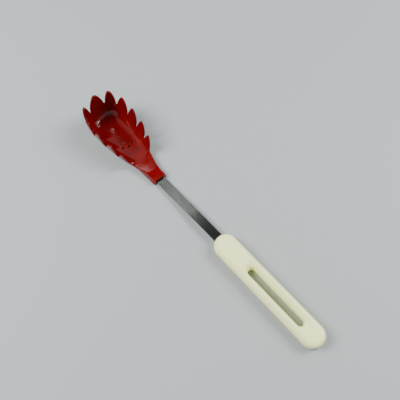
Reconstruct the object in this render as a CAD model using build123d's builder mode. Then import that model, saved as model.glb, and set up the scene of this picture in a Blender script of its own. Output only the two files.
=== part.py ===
from build123d import *
import math
import os

# Pasta server: a deep toothed nylon bowl on a flat steel strip, with a slotted
# plastic handle.  Millimetres, +X from the handle's butt to the front tooth, +Z up,
# y = 0 the plane of symmetry.  The origin is at the middle of the length, on the
# surface that the server lies on.

# ---- handle ----
handle_length = 141.0
handle_width = 24.0
handle_height = 13.0
handle_top_round = 4.6
handle_bottom_round = 3.6
slot_width = 8.4
slot_length = 72.4
slot_butt_land = 24.0            # butt to the near end of the slot
slot_dish_depth = 6.0            # the slot's top edge is hollowed out to this depth
slot_dish_side = 2.9             # the hollow is this much wider at the top, each side
slot_dish_end = 6.5              # and this much longer, each end
slot_bottom_round = 1.5
slot_dish_levels = [1.0, 0.6, 0.3, 0.1, 0.0]   # shares of the hollow's depth, from its foot up

# ---- shank strip ----
shank_exposed = 90.5             # handle to socket mouth
strip_width = 10.3
strip_thickness = 1.5
strip_edge_round = 0.3
strip_drop = 4.0                 # the strip leaves the handle this much above the socket
handle_tang_length = 34.0
socket_tang_length = 15.0
tang_hole_diameter = 4.2         # the handle is moulded through these holes
tang_hole_inset = 8.0            # tang end to its nearest hole
tang_hole_spacing = 13.0
barb_depth = 0.9                 # notches that leave barbs on the socket end
barb_length = 2.6
barb_pitch = 4.2
barb_inset = 3.5                 # tang end to its nearest notch
barb_count = 2                   # on each edge

# ---- server head ----
head_length = 107.0              # socket mouth to the front tooth
bowl_setback = 77.5              # socket mouth to the bowl's widest place
bowl_half_width = 24.7           # at bowl_height
bowl_height = 43.0
bowl_rear_reach = 66.0           # widest place to where the walls run into the neck
bowl_wall = 2.0
bowl_floor = 2.2
floor_half_width = 8.5           # flat of the floor, each side
floor_rear_reach = 29.0
front_undercut = 15.5            # the floor stops this far short of the front wall
side_curve = 2.3                 # how quickly the floor turns up into the side walls
front_curve = 3.6                # how quickly it turns up into the front wall
rear_curve = 4.5                 # how quickly it turns up into the neck
front_outline = 3.0              # plan outline ahead of the widest place: 2 is an ellipse, more is squarer
rear_outline = 1.9               # and behind it
ramp_start = 20.0                # widest place to where the floor starts to climb to the neck
ramp_end = 60.0                  # and to where it is level with the neck's top
ramp_start_slope = 0.08
ramp_end_slope = 0.02
neck_width = 14.4
neck_bottom = 0.5
neck_top = 6.6
neck_overlap = 30.0              # the neck runs on this far under the bowl's rear end
neck_round = 1.2

socket_fit = 0.05                # clearance round the tang
pocket_spare = 1.0               # pocket beyond the end of the tang
mouth_recess_height = 2.2        # the pocket is this much taller at the mouth
mouth_recess_depth = 4.0

# Teeth from the front one back: distance ahead of the widest place, and how far each
# tip stays below bowl_height.
front_tooth_drop = 0.2
tooth_stations = [26.0, 10.7, -7.2, -24.6, -39.8]
tooth_drops = [3.3, 6.9, 8.9, 11.9, 18.4]
gap_stations = [28.4, 20.2, 3.6, -12.8, -28.9]
gap_heights = [18.0, 15.4, 12.2, 7.4, 5.6]     # before the bottom is rounded
front_flank_bulge = 0.5          # how far a tooth's front edge bows out from straight
rear_flank_bulge = 1.3           # and its rear edge
tooth_tip_radius = 1.3
tooth_tip_corner = 1.5           # tooth's middle to where its flank meets the tip's height
gap_radius = 0.6
shoulder_foot = 45.0             # widest place to where the last tooth's rear edge lands

drain_diameter = 2.4
drain_stations = [-4.7, -14.1, -23.5]
drain_pair_station = -20.8
drain_pair_offset = 6.2

# ---- places along the length ----
tooth_heights = [bowl_height - drop for drop in tooth_drops]
total_length = handle_length + shank_exposed + head_length
butt_x = -total_length / 2
handle_front_x = butt_x + handle_length
mouth_x = handle_front_x + shank_exposed
bowl_x = mouth_x + bowl_setback
front_reach = head_length - bowl_setback
strip_handle_z = handle_height / 2
strip_socket_z = strip_handle_z - strip_drop
slot_middle_x = butt_x + slot_butt_land + slot_length / 2
handle_tang_end_x = handle_front_x - handle_tang_length
socket_tang_end_x = mouth_x + socket_tang_length

section_count = 7                # horizontal sections through the bowl
outline_points = 24


def bowl_section(share, inset):
    """Half width, front reach and rear reach; share is the root of the height's share."""
    half = bowl_half_width - inset
    half -= (bowl_half_width - inset - floor_half_width) * (1 - share) ** side_curve
    front = front_reach - inset - front_undercut * (1 - share) ** front_curve
    rear_ramp = (bowl_rear_reach - floor_rear_reach) * (1 - share) ** rear_curve
    rear = bowl_rear_reach - inset - rear_ramp
    return half, front, rear


def egg_outline(half, front, rear):
    """Points of the bowl's plan outline: blunt in front, drawn out behind."""
    points = []
    for i in range(outline_points):
        turn = 2 * math.pi * i / outline_points
        reach, power = (front, front_outline) if math.cos(turn) > 0 else (rear, rear_outline)
        along = math.copysign(abs(math.cos(turn)) ** (2 / power), math.cos(turn))
        across = math.copysign(abs(math.sin(turn)) ** (2 / power), math.sin(turn))
        points.append((bowl_x + reach * along, half * across))
    return points


def bowl_solid(inset, floor):
    """Closed solid from the floor's height up to bowl_height, as a private part."""
    with BuildPart(mode=Mode.PRIVATE) as bowl:
        for i in range(section_count):
            share = i / (section_count - 1)
            with BuildSketch(Plane.XY.offset(floor + (bowl_height - floor) * share ** 2)):
                with BuildLine():
                    Spline(*egg_outline(*bowl_section(share, inset)), periodic=True)
                make_face()
        loft()
    return bowl.part


def rim_point(station, height):
    """Point of the bowl's outer wall at a station and a height, on the +Y side."""
    half, front, rear = bowl_section(math.sqrt(height / bowl_height), 0.0)
    reach, power = (front, front_outline) if station > 0 else (rear, rear_outline)
    across = half * (1 - min(abs(station) / reach, 1.0) ** power) ** (1 / power)
    return Vector(bowl_x + station, across, height)


os.makedirs("parts", exist_ok=True)

# ---- server head ----
outer_bowl = bowl_solid(0.0, 0.0)
hollow = bowl_solid(bowl_wall, bowl_floor)
clear_height = 2 * bowl_height   # above everything
neck_length = bowl_setback - bowl_rear_reach + neck_overlap

# the floor's climb to the neck, inside the bowl's outer wall
with BuildPart(mode=Mode.PRIVATE) as ramp:
    with BuildSketch(Plane.XZ):
        with BuildLine():
            climb = Spline(
                (bowl_x - ramp_start, bowl_floor / 2),
                (bowl_x - ramp_end, neck_top),
                tangents=[(-1, ramp_start_slope), (-1, ramp_end_slope)],
            )
            Polyline(
                climb @ 1,
                (mouth_x, neck_top),
                (mouth_x, neck_bottom),
                (bowl_x - ramp_start, neck_bottom),
                climb @ 0,
            )
        make_face()
    extrude(amount=bowl_half_width, both=True)
    add(outer_bowl, mode=Mode.INTERSECT)

with BuildPart() as server_head:
    # neck and socket block, with its long edges rounded
    with BuildSketch(Plane.YZ.offset(mouth_x)):
        with Locations((0, (neck_bottom + neck_top) / 2)):
            RectangleRounded(neck_width, neck_top - neck_bottom, neck_round)
    extrude(amount=neck_length)
    add(outer_bowl)
    add(hollow, mode=Mode.SUBTRACT)
    add(ramp.part)

    # rear rim: down from the last tooth to the neck, then level over the neck
    last_tip = (bowl_x + tooth_stations[-1], tooth_heights[-1])
    with BuildSketch(Plane.XZ):
        with BuildLine():
            Polyline(
                (mouth_x - neck_length, neck_top),
                (bowl_x - shoulder_foot, neck_top),
                last_tip,
                (last_tip[0], clear_height),
                (mouth_x - neck_length, clear_height),
                close=True,
            )
        make_face()
    extrude(amount=2 * bowl_half_width, both=True, mode=Mode.SUBTRACT)

    # gaps between the teeth, each cut square to its stretch of the rim
    tips = [rim_point(front_reach, bowl_height - front_tooth_drop)]
    tips += [rim_point(station, height) for station, height in zip(tooth_stations, tooth_heights)]
    gaps = [rim_point(station, height) for station, height in zip(gap_stations, gap_heights)]
    for front_tip, gap, rear_tip in zip(tips, gaps, tips[1:]):
        for side in (1, -1):
            begin, bottom, end = [Vector(p.X, side * p.Y, p.Z) for p in (front_tip, gap, rear_tip)]
            run = Vector(end.X - begin.X, end.Y - begin.Y)
            along = run.normalized()
            gap_along = (bottom - begin).dot(along)
            rim_plane = Plane(
                origin=(begin.X, begin.Y, 0), x_dir=along, z_dir=along.cross(Vector(0, 0, 1))
            )
            with BuildSketch(rim_plane) as gap_cut:
                with BuildLine():
                    begin_corner = Vector(tooth_tip_corner, begin.Z)
                    valley = Vector(gap_along, bottom.Z)
                    end_corner = Vector(run.length - tooth_tip_corner, end.Z)
                    SagittaArc(begin_corner, valley, rear_flank_bulge)
                    SagittaArc(valley, end_corner, front_flank_bulge)
                    Polyline(
                        end_corner,
                        (run.length + tooth_tip_radius, end.Z),
                        (run.length + tooth_tip_radius, clear_height),
                        (-tooth_tip_radius, clear_height),
                        (-tooth_tip_radius, begin.Z),
                        begin_corner,
                    )
                make_face()
                corners = gap_cut.vertices().filter_by(lambda v: 0 < v.X < run.length)
                fillet(corners.sort_by(Axis.Y)[1:], tooth_tip_radius)
                fillet(gap_cut.vertices().sort_by(Axis.Y)[0], gap_radius)
            extrude(amount=bowl_half_width / 2, both=True, mode=Mode.SUBTRACT)

    # drain holes through the floor
    drains = [(bowl_x + station, 0) for station in drain_stations]
    drains += [(bowl_x + drain_pair_station, side * drain_pair_offset) for side in (1, -1)]
    with BuildSketch(Plane.XY):
        with Locations(*drains):
            Circle(drain_diameter / 2)
    extrude(amount=neck_top, mode=Mode.SUBTRACT)

    # socket pocket for the strip, taller at the mouth
    pocket_height = strip_thickness + 2 * socket_fit
    with BuildSketch(Plane.YZ.offset(mouth_x)):
        with Locations((0, strip_socket_z)):
            Rectangle(strip_width + 2 * socket_fit, pocket_height)
    extrude(amount=socket_tang_length + pocket_spare, mode=Mode.SUBTRACT)
    with BuildSketch(Plane.YZ.offset(mouth_x)):
        with Locations((0, strip_socket_z + mouth_recess_height / 2)):
            Rectangle(strip_width + 2 * socket_fit, pocket_height + mouth_recess_height)
    extrude(amount=mouth_recess_depth, mode=Mode.SUBTRACT)
server_head.part.label = "server_head"
export_step(server_head.part, "parts/server_head.step")

# ---- shank strip: a flat strip with a shallow double bend between its two tangs ----
half_run = shank_exposed / 2
half_drop = strip_drop / 2
bend_radius = (half_run ** 2 + half_drop ** 2) / (2 * half_drop)
bend_angle = math.degrees(math.asin(half_run / bend_radius))
with BuildPart() as shank_strip:
    with BuildSketch(Plane.XZ):
        with BuildLine():
            handle_tang = Line((handle_tang_end_x, strip_handle_z), (handle_front_x, strip_handle_z))
            fall = JernArc(handle_tang @ 1, handle_tang % 1, bend_radius, -bend_angle)
            level_out = JernArc(fall @ 1, fall % 1, bend_radius, bend_angle)
            Line(level_out @ 1, (socket_tang_end_x, strip_socket_z))
        trace(line_width=strip_thickness)
    extrude(amount=strip_width / 2, both=True)
    sides = shank_strip.faces().sort_by(Axis.Y)
    side_edges = sides[0].edges() + sides[-1].edges()
    fillet(side_edges.filter_by(lambda edge: edge.length > 2 * strip_thickness), strip_edge_round)
    # holes that the handle is moulded through
    with Locations(
        (handle_tang_end_x + tang_hole_inset, 0, strip_handle_z),
        (handle_tang_end_x + tang_hole_inset + tang_hole_spacing, 0, strip_handle_z),
    ):
        Hole(tang_hole_diameter / 2)
    # notches that leave barbs on the socket end
    with BuildSketch(Plane.XY.offset(strip_socket_z - strip_thickness)):
        for notch in range(barb_count):
            notch_x = socket_tang_end_x - barb_inset - notch * barb_pitch
            for side in (1, -1):
                with BuildLine():
                    Polyline(
                        (notch_x, side * (strip_width / 2 - barb_depth)),
                        (notch_x, side * strip_width),
                        (notch_x - barb_length, side * strip_width),
                        (notch_x - barb_length, side * strip_width / 2),
                        close=True,
                    )
                make_face()
    extrude(amount=2 * strip_thickness, mode=Mode.SUBTRACT)
shank_strip.part.label = "shank_strip"
export_step(shank_strip.part, "parts/shank_strip.step")

# ---- handle: a round-ended grip with a long slot, moulded round the strip's tang ----
handle_middle_x = butt_x + handle_length / 2
with BuildPart() as handle:
    with BuildSketch():
        with Locations((handle_middle_x, 0)):
            SlotOverall(handle_length, handle_width)
    extrude(amount=handle_height)
    fillet(handle.faces().sort_by(Axis.Z)[-1].edges(), handle_top_round)
    fillet(handle.faces().sort_by(Axis.Z)[0].edges(), handle_bottom_round)
    with BuildSketch():
        with Locations((slot_middle_x, 0)):
            SlotOverall(slot_length, slot_width)
    extrude(amount=handle_height, mode=Mode.SUBTRACT)
    fillet(handle.faces().sort_by(Axis.Z)[0].inner_wires()[0].edges(), slot_bottom_round)
    # hollowed top edge of the slot, round-shouldered, longer at the ends
    for depth_share in slot_dish_levels:
        spread = 1 - math.sqrt(1 - (1 - depth_share) ** 2)
        with BuildSketch(Plane.XY.offset(handle_height - depth_share * slot_dish_depth)):
            with Locations((slot_middle_x, 0)):
                SlotOverall(
                    slot_length + 2 * slot_dish_end * spread,
                    slot_width + 2 * slot_dish_side * spread,
                )
    loft(mode=Mode.SUBTRACT)
    add(shank_strip.part, mode=Mode.SUBTRACT)
handle.part.label = "handle"
export_step(handle.part, "parts/handle.step")
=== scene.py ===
import math

import bmesh
import bpy
import numpy as np
from mathutils import Matrix, Vector


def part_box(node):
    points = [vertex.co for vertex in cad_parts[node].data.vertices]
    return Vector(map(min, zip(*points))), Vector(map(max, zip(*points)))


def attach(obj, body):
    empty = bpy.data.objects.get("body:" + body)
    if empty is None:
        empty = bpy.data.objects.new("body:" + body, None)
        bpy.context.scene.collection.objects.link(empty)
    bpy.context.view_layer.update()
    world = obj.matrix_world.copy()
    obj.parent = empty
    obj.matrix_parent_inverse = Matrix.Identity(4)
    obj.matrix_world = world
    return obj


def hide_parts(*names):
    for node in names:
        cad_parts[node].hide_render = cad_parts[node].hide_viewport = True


# Pasta server: a glossy red nylon bowl with teeth on a brushed steel strip, with a
# slotted cream handle.  Metres in the scene; the shape fields below work in
# millimetres in the same frame, and MM turns one into the other.
MM = 0.001

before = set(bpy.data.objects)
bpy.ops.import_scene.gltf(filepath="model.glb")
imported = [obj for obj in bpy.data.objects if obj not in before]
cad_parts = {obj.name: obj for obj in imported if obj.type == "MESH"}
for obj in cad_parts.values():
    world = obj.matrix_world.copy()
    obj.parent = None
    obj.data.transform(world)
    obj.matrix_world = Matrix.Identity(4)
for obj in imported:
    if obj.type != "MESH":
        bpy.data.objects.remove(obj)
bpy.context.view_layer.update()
head_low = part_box("server_head")[0] / MM
handle_low, handle_high = [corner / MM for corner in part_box("handle")]

# ---------------------------------------------------------------- sizes, in mm
bowl_setback = 77.5
bowl_half_width = 24.7
bowl_height = 43.0
bowl_rear_reach = 66.0
bowl_wall = 2.0
bowl_floor = 2.2
floor_half_width = 8.5
floor_rear_reach = 29.0
front_undercut = 15.5
side_curve = 2.3
front_curve = 3.6
rear_curve = 4.5
front_outline = 3.0
rear_outline = 1.9
head_length = 107.0
mouth_x = head_low.x
bowl_x = mouth_x + bowl_setback
front_reach = head_length - bowl_setback

# the floor climbs to the neck, and is slightly dished across and towards the front
ramp_start = 18.0
ramp_end = 62.0
ramp_rise = 5.2
dish_across = 90.0
dish_ahead = 260.0
floor_blend = 5.0

neck_half_width = 7.2
neck_bottom = 0.5
neck_top = 6.6
neck_overlap = 30.0
neck_round = 1.2
neck_blend = 8.0
outer_foot_blend = 0.8
sole_blend = 0.6
fine_edge_blend = 0.3               # round the mouth of the socket and the drains

tooth_stations = [29.5, 26.0, 10.7, -7.2, -24.6, -39.8]
tooth_heights = [42.8, 39.7, 36.1, 34.1, 31.1, 24.6]
gap_stations = [28.4, 20.2, 3.6, -12.8, -28.9]
gap_heights = [18.0, 15.4, 12.2, 7.4, 5.6]
front_flank_bulge = 0.8
rear_flank_bulge = 1.6
tooth_tip_corner = 1.9
gap_blend = 1.6
tip_blend = 2.2
rim_blend = 1.0
gap_margin = 3.0                    # each gap is cut this far past its two teeth
shoulder_foot = 45.0                # widest place to where the last tooth's rear edge lands
shoulder_blend = 3.0
low_rim_rise = 0.1                  # the rim behind that foot stands this much above the neck

drain_radius = 1.2
drains = [(-4.7, 0.0), (-14.1, 0.0), (-23.5, 0.0), (-20.8, 6.2)]

pocket_half_width = 5.2
pocket_low = 1.7
pocket_height = 1.6
pocket_depth = 16.0
pocket_lead = 2.0                   # the pocket is cut from this far outside the mouth
recess_height = 2.2
recess_depth = 4.0

slot_half_width = 4.2
slot_length = 72.4
slot_butt_land = 24.0
slot_dish_depth = 6.0
slot_dish_side = 2.9
slot_dish_end = 6.5
slot_bottom_round = 1.5
slot_edge_blend = 1.4
handle_top_round = 5.2
handle_bottom_round = 3.6
arc_limit = 0.995                   # a quarter round stops here, just before it turns level

head_cell = 0.5                     # size of the even quads in the finished meshes
handle_cell = 0.6
ring_points = 48                    # round each outline of the handle's draft


# ---------------------------------------------------------------- shape fields
def smooth_max(a, b, blend):
    """The larger of two distances, with the corner between them rounded over blend."""
    near = np.maximum(blend - np.abs(a - b), 0.0)
    return np.maximum(a, b) + near * near / (4 * blend)


def smooth_min(a, b, blend):
    return -smooth_max(-a, -b, blend)


def slope_of(field, points, step=0.02):
    """Gradient of a field by central differences."""
    slope = np.empty_like(points)
    for axis in range(3):
        shift = np.zeros(3)
        shift[axis] = step
        slope[:, axis] = (field(points + shift) - field(points - shift)) / (2 * step)
    return slope


def as_distance(field, points):
    """A field divided by its own slope, which is close to a distance near its surface."""
    steepness = np.linalg.norm(slope_of(field, points), axis=1)
    return field(points) / np.maximum(steepness, 1e-4)


def bowl_section(share, inset):
    """Half width, front reach and rear reach; share is the root of the height's share."""
    half = bowl_half_width - inset
    half = half - (half - floor_half_width) * (1 - share) ** side_curve
    front = front_reach - inset - front_undercut * (1 - share) ** front_curve
    rear = bowl_rear_reach - inset - (bowl_rear_reach - floor_rear_reach) * (1 - share) ** rear_curve
    return half, front, rear


def wall_field(inset, floor):
    """Below zero inside the egg-shaped wall of the bowl."""
    def field(points):
        share = np.sqrt(np.clip((points[:, 2] - floor) / (bowl_height - floor), 0.0, 1.0))
        half, front, rear = bowl_section(share, inset)
        ahead = points[:, 0] - bowl_x
        power = np.where(ahead > 0, front_outline, rear_outline)
        along = np.abs(ahead) / np.where(ahead > 0, front, rear)
        across = np.abs(points[:, 1]) / half
        return (along ** power + across ** power) ** (1 / power) - 1
    return field


def floor_height(points):
    """Height of the bowl's inner floor, with its climb to the neck."""
    station = points[:, 0] - bowl_x
    climb = np.clip((-station - ramp_start) / (ramp_end - ramp_start), 0.0, 1.0)
    dish = points[:, 1] ** 2 / dish_across + np.maximum(station, 0.0) ** 2 / dish_ahead
    return bowl_floor + dish * (1 - climb) + ramp_rise * climb * climb * (3 - 2 * climb)


def box_distance(points, low, high):
    centre = (np.array(low) + np.array(high)) / 2
    size = (np.array(high) - np.array(low)) / 2
    over = np.abs(points - centre) - size
    return np.linalg.norm(np.maximum(over, 0.0), axis=1) + np.minimum(over.max(axis=1), 0.0)


def rim_point(station, height):
    half, front, rear = bowl_section(math.sqrt(height / bowl_height), 0.0)
    reach, power = (front, front_outline) if station > 0 else (rear, rear_outline)
    across = half * (1 - min(abs(station) / reach, 1.0) ** power) ** (1 / power)
    return np.array([bowl_x + station, across, height])


def flank_distance(along, height, foot, top, bulge):
    """Distance from a tooth's flank, an arc from its foot to its top; above zero in the gap."""
    run, rise = top[0] - foot[0], top[1] - foot[1]
    half_chord = math.hypot(run, rise) / 2
    radius = (half_chord ** 2 + bulge ** 2) / (2 * bulge)
    away = math.copysign((radius - bulge) / (2 * half_chord), run)
    centre_along = (foot[0] + top[0]) / 2 + rise * away
    centre_height = (foot[1] + top[1]) / 2 - run * away
    return np.hypot(along - centre_along, height - centre_height) - radius


def cut_rear_rim(shape, station, height):
    """Last tooth's rear edge, and the low rim from its foot to the neck."""
    run = shoulder_foot + tooth_stations[-1]
    rise = tooth_heights[-1] - neck_top
    behind = ((height - neck_top) * run - (station + shoulder_foot) * rise) / math.hypot(run, rise)
    above_rim = height - neck_top - low_rim_rise
    return smooth_max(shape, -smooth_max(-behind, -above_rim, shoulder_blend), rim_blend)


def cut_gaps(shape, mirrored):
    """Gaps between the teeth, each cut square to its stretch of the rim."""
    height = mirrored[:, 2]
    tips = [rim_point(s, h) for s, h in zip(tooth_stations, tooth_heights)]
    gaps = [rim_point(s, h) for s, h in zip(gap_stations, gap_heights)]
    for begin, gap, end in zip(tips, gaps, tips[1:]):
        run = end[:2] - begin[:2]
        length = np.linalg.norm(run)
        direction = run / length
        offset = mirrored[:, :2] - begin[:2]
        along = offset @ direction
        outward = offset @ np.array([direction[1], -direction[0]])
        within = (along > -gap_margin) & (along < length + gap_margin)
        near = within & (np.abs(outward) < bowl_half_width / 2)
        a, h = along[near], height[near]
        foot = ((gap[:2] - begin[:2]) @ direction, gap[2])
        near_corner = (tooth_tip_corner, begin[2])
        far_corner = (length - tooth_tip_corner, end[2])
        ahead = flank_distance(a, h, foot, near_corner, rear_flank_bulge)
        behind = flank_distance(a, h, foot, far_corner, front_flank_bulge)
        opening = -smooth_max(-ahead, -behind, gap_blend)
        above_tip = h - np.where(a < length / 2, begin[2], end[2])
        shape[near] = smooth_max(shape[near], smooth_max(opening, above_tip, tip_blend), rim_blend)
    return shape


def head_field(points):
    """Signed distance from the finished head, in mm: below zero inside the plastic."""
    mirrored = points.copy()
    mirrored[:, 1] = np.abs(points[:, 1])
    height = points[:, 2]
    outer = smooth_max(as_distance(wall_field(0.0, 0.0), mirrored), -height, outer_foot_blend)

    # the neck is drawn a little past the mouth, then cut square there
    neck = box_distance(
        mirrored,
        (mouth_x + neck_round / 4, neck_round - neck_half_width, neck_bottom + neck_round),
        (bowl_x - bowl_rear_reach + neck_overlap, neck_half_width - neck_round, neck_top - neck_round),
    ) - neck_round
    neck = smooth_max(neck, mouth_x - points[:, 0], fine_edge_blend)
    body = smooth_min(outer, neck, neck_blend)
    body = smooth_max(body, -height, sole_blend)
    body = cut_rear_rim(body, mirrored[:, 0] - bowl_x, height)
    inner = as_distance(wall_field(bowl_wall, bowl_floor), mirrored)
    hollow = smooth_max(inner, floor_height(mirrored) - height, floor_blend)
    shape = smooth_max(body, -hollow, rim_blend)
    shape = cut_gaps(shape, mirrored)

    for station, aside in drains:
        reach = np.hypot(points[:, 0] - bowl_x - station, mirrored[:, 1] - aside)
        shape = smooth_max(shape, drain_radius - reach, fine_edge_blend)

    mouth_corner = (mouth_x - pocket_lead, -pocket_half_width, pocket_low)
    pocket = box_distance(
        points,
        mouth_corner,
        (mouth_x + pocket_depth, pocket_half_width, pocket_low + pocket_height),
    )
    recess = box_distance(
        points,
        mouth_corner,
        (mouth_x + recess_depth, pocket_half_width, pocket_low + pocket_height + recess_height),
    )
    return smooth_max(shape, -np.minimum(pocket, recess), fine_edge_blend)


def stadium_distance(points, middle_x, half_length, half_width):
    """Distance in plan from a round-ended outline; half_length runs to the round ends."""
    over = np.maximum(np.abs(points[:, 0] - middle_x) - (half_length - half_width), 0.0)
    return np.hypot(over, points[:, 1]) - half_width


def handle_field(points):
    """Signed distance from the finished handle, in mm."""
    height = points[:, 2]
    half_height = (handle_high.z - handle_low.z) / 2
    middle_x = (handle_low.x + handle_high.x) / 2
    above = height - (handle_low.z + half_height)
    rounding = np.where(above > 0, handle_top_round, handle_bottom_round)
    plan = stadium_distance(points, middle_x, (handle_high.x - handle_low.x) / 2, handle_high.y)
    side = plan + rounding
    cap = np.abs(above) - half_height + rounding
    outside = np.hypot(np.maximum(side, 0), np.maximum(cap, 0))
    grip = outside + np.minimum(np.maximum(side, cap), 0) - rounding

    slot_x = handle_low.x + slot_butt_land + slot_length / 2

    def slot_field(at):
        """Below zero inside the slot, whose top edge is hollowed out and bottom edge rounded."""
        climb = (at[:, 2] - handle_high.z + slot_dish_depth) / slot_dish_depth
        climb = np.clip(climb, 0.0, arc_limit)
        spread = 1 - np.sqrt(1 - climb ** 2)
        sink = np.clip(1 - at[:, 2] / slot_bottom_round, 0.0, arc_limit)
        flare = slot_bottom_round * (1 - np.sqrt(1 - sink ** 2))
        half_width = slot_half_width + slot_dish_side * spread + flare
        half_length = slot_length / 2 + slot_dish_end * spread + flare
        return stadium_distance(at, slot_x, half_length, half_width)

    return smooth_max(grip, -as_distance(slot_field, points), slot_edge_blend)


# ---------------------------------------------------------------- meshes
def new_piece(name, mesh, node, material):
    """A finished piece, which takes the place of one CAD node."""
    piece = bpy.data.objects.new(name, mesh)
    bpy.context.scene.collection.objects.link(piece)
    piece.data.materials.append(material)
    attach(piece, "root")
    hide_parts(node)


def evened_mesh(name, mesh, cell):
    """A closed mesh rebuilt from even quads of about cell mm."""
    draft = bpy.data.objects.new(name + "_draft", mesh)
    bpy.context.scene.collection.objects.link(draft)
    remesh = draft.modifiers.new("even", "REMESH")
    remesh.mode = "VOXEL"
    remesh.voxel_size = cell * MM
    bpy.context.view_layer.update()
    evaluated = draft.evaluated_get(bpy.context.evaluated_depsgraph_get())
    result = bpy.data.meshes.new_from_object(evaluated)
    bpy.data.objects.remove(draft)
    result.name = name
    return result


def settle(mesh, field, rounds=6, relax=2):
    """Moves every point of a mesh onto the surface where field is zero, and evens them out."""
    flattest = 0.05                 # smallest squared slope that a step is divided by
    longest = 0.6                   # longest step, in mm
    pull = 0.6                      # how far a point goes towards the middle of its neighbours
    points = np.empty(len(mesh.vertices) * 3)
    mesh.vertices.foreach_get("co", points)
    points = points.reshape(-1, 3) / MM
    edges = np.empty(len(mesh.edges) * 2, int)
    mesh.edges.foreach_get("vertices", edges)
    edges = edges.reshape(-1, 2)
    degree = np.bincount(edges.ravel(), minlength=len(points))[:, None]

    def project(times):
        for _ in range(times):
            slope = slope_of(field, points)
            steepness = np.maximum((slope * slope).sum(axis=1), flattest)
            step = slope * (field(points) / steepness)[:, None]
            size = np.linalg.norm(step, axis=1, keepdims=True)
            points[:] -= step * np.minimum(1.0, longest / np.maximum(size, 1e-9))

    project(rounds)
    for _ in range(relax):
        total = np.zeros_like(points)
        np.add.at(total, edges[:, 0], points[edges[:, 1]])
        np.add.at(total, edges[:, 1], points[edges[:, 0]])
        points[:] = points * (1 - pull) + total / degree * pull
        project(2)
    points[:, 2] = np.maximum(points[:, 2], 0.0)     # nothing goes below the table
    mesh.vertices.foreach_set("co", (points * MM).ravel())
    mesh.update()
    mesh.polygons.foreach_set("use_smooth", [True] * len(mesh.polygons))


def head_mesh():
    """The CAD solid's surface, evened and settled twice on the head's field."""
    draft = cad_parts["server_head"].data.copy()
    draft.materials.clear()
    draft = evened_mesh("server_head_draft", draft, head_cell)
    settle(draft, head_field, rounds=8, relax=6)
    mesh = evened_mesh("server_head_moulding", draft, head_cell)
    settle(mesh, head_field, rounds=3)
    return mesh


def handle_mesh():
    """Round-ended ring of quads, then evened and settled on the handle's field."""
    shape = bmesh.new()
    middle_x = (handle_low.x + handle_high.x) / 2
    slot_x = handle_low.x + slot_butt_land + slot_length / 2
    loops = []
    for centre, half_length, half_width in (
        (middle_x, (handle_high.x - handle_low.x) / 2, handle_high.y),
        (slot_x, slot_length / 2, slot_half_width),
    ):
        for level in (handle_low.z, handle_high.z):
            loop = []
            for i in range(ring_points):
                turn = 2 * math.pi * (i + 0.5) / ring_points
                push = math.copysign(half_length - half_width, math.cos(turn))
                place = (
                    centre + push + half_width * math.cos(turn),
                    half_width * math.sin(turn),
                    level,
                )
                loop.append(shape.verts.new(Vector(place) * MM))
            loops.append(loop)
    outer_low, outer_high, inner_low, inner_high = loops
    around = (outer_low, outer_high, inner_high, inner_low)
    for first, second in zip(around, around[1:] + around[:1]):
        for i in range(ring_points):
            j = (i + 1) % ring_points
            shape.faces.new((first[i], first[j], second[j], second[i]))
    draft = bpy.data.meshes.new("handle_draft")
    shape.to_mesh(draft)
    shape.free()
    mesh = evened_mesh("handle_moulding", draft, handle_cell)
    settle(mesh, handle_field)
    return mesh


# ---------------------------------------------------------------- materials
def linear(code):
    """sRGB hex to a linear colour."""
    values = [int(code[i:i + 2], 16) / 255 for i in (0, 2, 4)]
    return [v / 12.92 if v <= 0.04045 else ((v + 0.055) / 1.055) ** 2.4 for v in values] + [1.0]


def per_metre(size):
    """Scale of a pattern whose features are size mm apart."""
    return 1 / (size * MM)


def add_node(tree, kind, settings=None, inputs=None):
    """A node with its settings; each input is a value, or another node's output to link."""
    node = tree.nodes.new(kind)
    for name, value in (settings or {}).items():
        setattr(node, name, value)
    for name, value in (inputs or {}).items():
        if isinstance(value, bpy.types.NodeSocket):
            tree.links.new(value, node.inputs[name])
        else:
            node.inputs[name].default_value = value
    return node


def new_material(name):
    material = bpy.data.materials.new(name)
    material.use_nodes = True
    tree = material.node_tree
    return material, tree, tree.nodes["Principled BSDF"]


def red_nylon():
    """Moulded nylon 66, dyed through: deep glossy red, with a faint mottle and mould ripple."""
    material, tree, shader = new_material("moulded_red_nylon")
    place = add_node(tree, "ShaderNodeTexCoord")
    mottle = add_node(
        tree, "ShaderNodeTexNoise",
        inputs={"Vector": place.outputs["Object"], "Scale": per_metre(16.7), "Detail": 3.0},
    )
    tint = add_node(tree, "ShaderNodeValToRGB", inputs={"Fac": mottle.outputs["Fac"]})
    tint.color_ramp.elements[0].position = 0.3
    tint.color_ramp.elements[0].color = linear("600202")
    tint.color_ramp.elements[1].position = 0.7
    tint.color_ramp.elements[1].color = linear("6E0303")
    tree.links.new(tint.outputs["Color"], shader.inputs["Base Color"])
    ripple = add_node(
        tree, "ShaderNodeTexNoise",
        inputs={"Vector": place.outputs["Object"], "Scale": per_metre(4.17), "Detail": 2.0},
    )
    bump = add_node(
        tree, "ShaderNodeBump",
        inputs={"Height": ripple.outputs["Fac"], "Strength": 0.03, "Distance": 0.4 * MM},
    )
    tree.links.new(bump.outputs["Normal"], shader.inputs["Normal"])
    shader.inputs["Roughness"].default_value = 0.1
    shader.inputs["IOR"].default_value = 1.53
    return material


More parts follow.
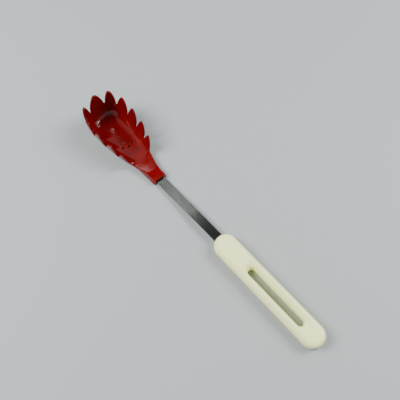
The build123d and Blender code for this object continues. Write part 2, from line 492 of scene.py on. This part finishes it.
def cream_plastic():
    """Moulded cream ABS: satin gloss, very slightly yellowed in patches."""
    material, tree, shader = new_material("moulded_cream_abs")
    place = add_node(tree, "ShaderNodeTexCoord")
    patches = add_node(
        tree, "ShaderNodeTexNoise",
        inputs={"Vector": place.outputs["Object"], "Scale": per_metre(28.6), "Detail": 4.0},
    )
    tint = add_node(tree, "ShaderNodeValToRGB", inputs={"Fac": patches.outputs["Fac"]})
    tint.color_ramp.elements[0].position = 0.3
    tint.color_ramp.elements[0].color = linear("F8FCB8")
    tint.color_ramp.elements[1].position = 0.75
    tint.color_ramp.elements[1].color = linear("F2F5AE")
    tree.links.new(tint.outputs["Color"], shader.inputs["Base Color"])
    texture = add_node(
        tree, "ShaderNodeTexNoise",
        inputs={"Vector": place.outputs["Object"], "Scale": per_metre(1.11), "Detail": 2.0},
    )
    bump = add_node(
        tree, "ShaderNodeBump",
        inputs={"Height": texture.outputs["Fac"], "Strength": 0.04, "Distance": 0.2 * MM},
    )
    tree.links.new(bump.outputs["Normal"], shader.inputs["Normal"])
    shader.inputs["Roughness"].default_value = 0.33
    shader.inputs["IOR"].default_value = 1.53
    return material


def brushed_steel():
    """Stainless strip, brushed along its length; the streaks are drawn coarser than real grit."""
    streak_length, streak_spacing = 50.0, 0.333
    material, tree, shader = new_material("brushed_stainless_strip")
    place = add_node(tree, "ShaderNodeTexCoord")
    across = per_metre(streak_spacing)
    stretch = add_node(
        tree, "ShaderNodeMapping",
        inputs={"Vector": place.outputs["Object"], "Scale": (per_metre(streak_length), across, across)},
    )
    streaks = add_node(
        tree, "ShaderNodeTexNoise",
        inputs={"Vector": stretch.outputs["Vector"], "Scale": 1.0, "Detail": 3.0},
    )
    rough = add_node(
        tree, "ShaderNodeMapRange",
        inputs={"Value": streaks.outputs["Fac"], "To Min": 0.14, "To Max": 0.26},
    )
    tree.links.new(rough.outputs["Result"], shader.inputs["Roughness"])
    bump = add_node(
        tree, "ShaderNodeBump",
        inputs={"Height": streaks.outputs["Fac"], "Strength": 0.08, "Distance": 0.1 * MM},
    )
    tree.links.new(bump.outputs["Normal"], shader.inputs["Normal"])
    shader.inputs["Base Color"].default_value = linear("B2B6B0")
    shader.inputs["Metallic"].default_value = 1.0
    return material


# ---------------------------------------------------------------- pieces
new_piece("server_head_moulding", head_mesh(), "server_head", red_nylon())
new_piece("handle_moulding", handle_mesh(), "handle", cream_plastic())
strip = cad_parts["shank_strip"]
strip.data.materials.clear()
strip.data.materials.append(brushed_steel())

# ---------------------------------------------------------------- floor, light, camera
floor_mesh = bpy.data.meshes.new("floor")
reach = 3.0
floor_mesh.from_pydata(
    [(-reach, -reach, 0), (reach, -reach, 0), (reach, reach, 0), (-reach, reach, 0)], [], [(0, 1, 2, 3)]
)
floor = bpy.data.objects.new("floor", floor_mesh)
bpy.context.scene.collection.objects.link(floor)
floor_material, _, floor_shader = new_material("pale_table")
floor_shader.inputs["Base Color"].default_value = linear("9FA4A5")
floor_shader.inputs["Roughness"].default_value = 0.6
floor.data.materials.append(floor_material)

camera_place = Vector((-0.1502, 0.1333, 0.4893))
camera_pitch = math.radians(65.36)
camera_yaw = math.radians(-41.81)
camera_lens = 46.1
forward = Vector((
    math.cos(camera_yaw) * math.cos(camera_pitch),
    math.sin(camera_yaw) * math.cos(camera_pitch),
    -math.sin(camera_pitch),
))
right = Vector((math.sin(camera_yaw), -math.cos(camera_yaw), 0))
upward = right.cross(forward)
camera_data = bpy.data.cameras.new("camera")
camera_data.lens = camera_lens
camera_data.sensor_width = 36.0
camera_data.clip_start = 0.01
camera = bpy.data.objects.new("camera", camera_data)
camera.matrix_world = Matrix((
    (right.x, upward.x, -forward.x, camera_place.x),
    (right.y, upward.y, -forward.y, camera_place.y),
    (right.z, upward.z, -forward.z, camera_place.z),
    (0, 0, 0, 1),
))
bpy.context.scene.collection.objects.link(camera)
bpy.context.scene.camera = camera


def soft_light(name, azimuth, elevation, distance, size, power):
    """White rectangular light aimed at the middle of the server; angles in degrees."""
    light = bpy.data.lights.new(name, "AREA")
    light.shape = "RECTANGLE"
    light.size, light.size_y = size
    light.energy = power
    lamp = bpy.data.objects.new(name, light)
    across, up = math.radians(azimuth), math.radians(elevation)
    away = Vector((math.cos(across) * math.cos(up), math.sin(across) * math.cos(up), math.sin(up)))
    lamp.location = away * distance
    lamp.rotation_euler = away.to_track_quat("Z", "Y").to_euler()
    bpy.context.scene.collection.objects.link(lamp)
    return lamp


# two broad soft lights; the left one stays out of reflections, as the bowl would mirror it
soft_light("side_right", -112, 42, 1.6, (0.8, 0.8), 33)
fill = soft_light("fill_left", 50, 46, 1.3, (0.7, 0.7), 29)
fill.visible_glossy = False

# two small lamps give the glints on the bowl's floor and the sheen on the strip
soft_light("lamp", -24, 60, 1.8, (0.10, 0.03), 0.09)
soft_light("lamp_behind", -29, 55, 1.8, (0.05, 0.02), 0.05)

# room light: pale at the sides, darker higher up, nearly black overhead; each stop's
# position is the sine of its elevation
world = bpy.data.worlds.new("room")
bpy.context.scene.world = world
world.use_nodes = True
room = world.node_tree
outward = add_node(room, "ShaderNodeTexCoord")
split = add_node(room, "ShaderNodeSeparateXYZ", inputs={"Vector": outward.outputs["Generated"]})
shade = add_node(room, "ShaderNodeValToRGB", inputs={"Fac": split.outputs["Z"]})
shade.color_ramp.elements[0].position = 0.72
shade.color_ramp.elements[0].color = linear("E4E8EA")
shade.color_ramp.elements[1].position = 0.92
shade.color_ramp.elements[1].color = linear("1C1D1E")
middle = shade.color_ramp.elements.new(0.84)
middle.color = linear("707476")
room.links.new(shade.outputs["Color"], room.nodes["Background"].inputs["Color"])
room.nodes["Background"].inputs["Strength"].default_value = 0.64
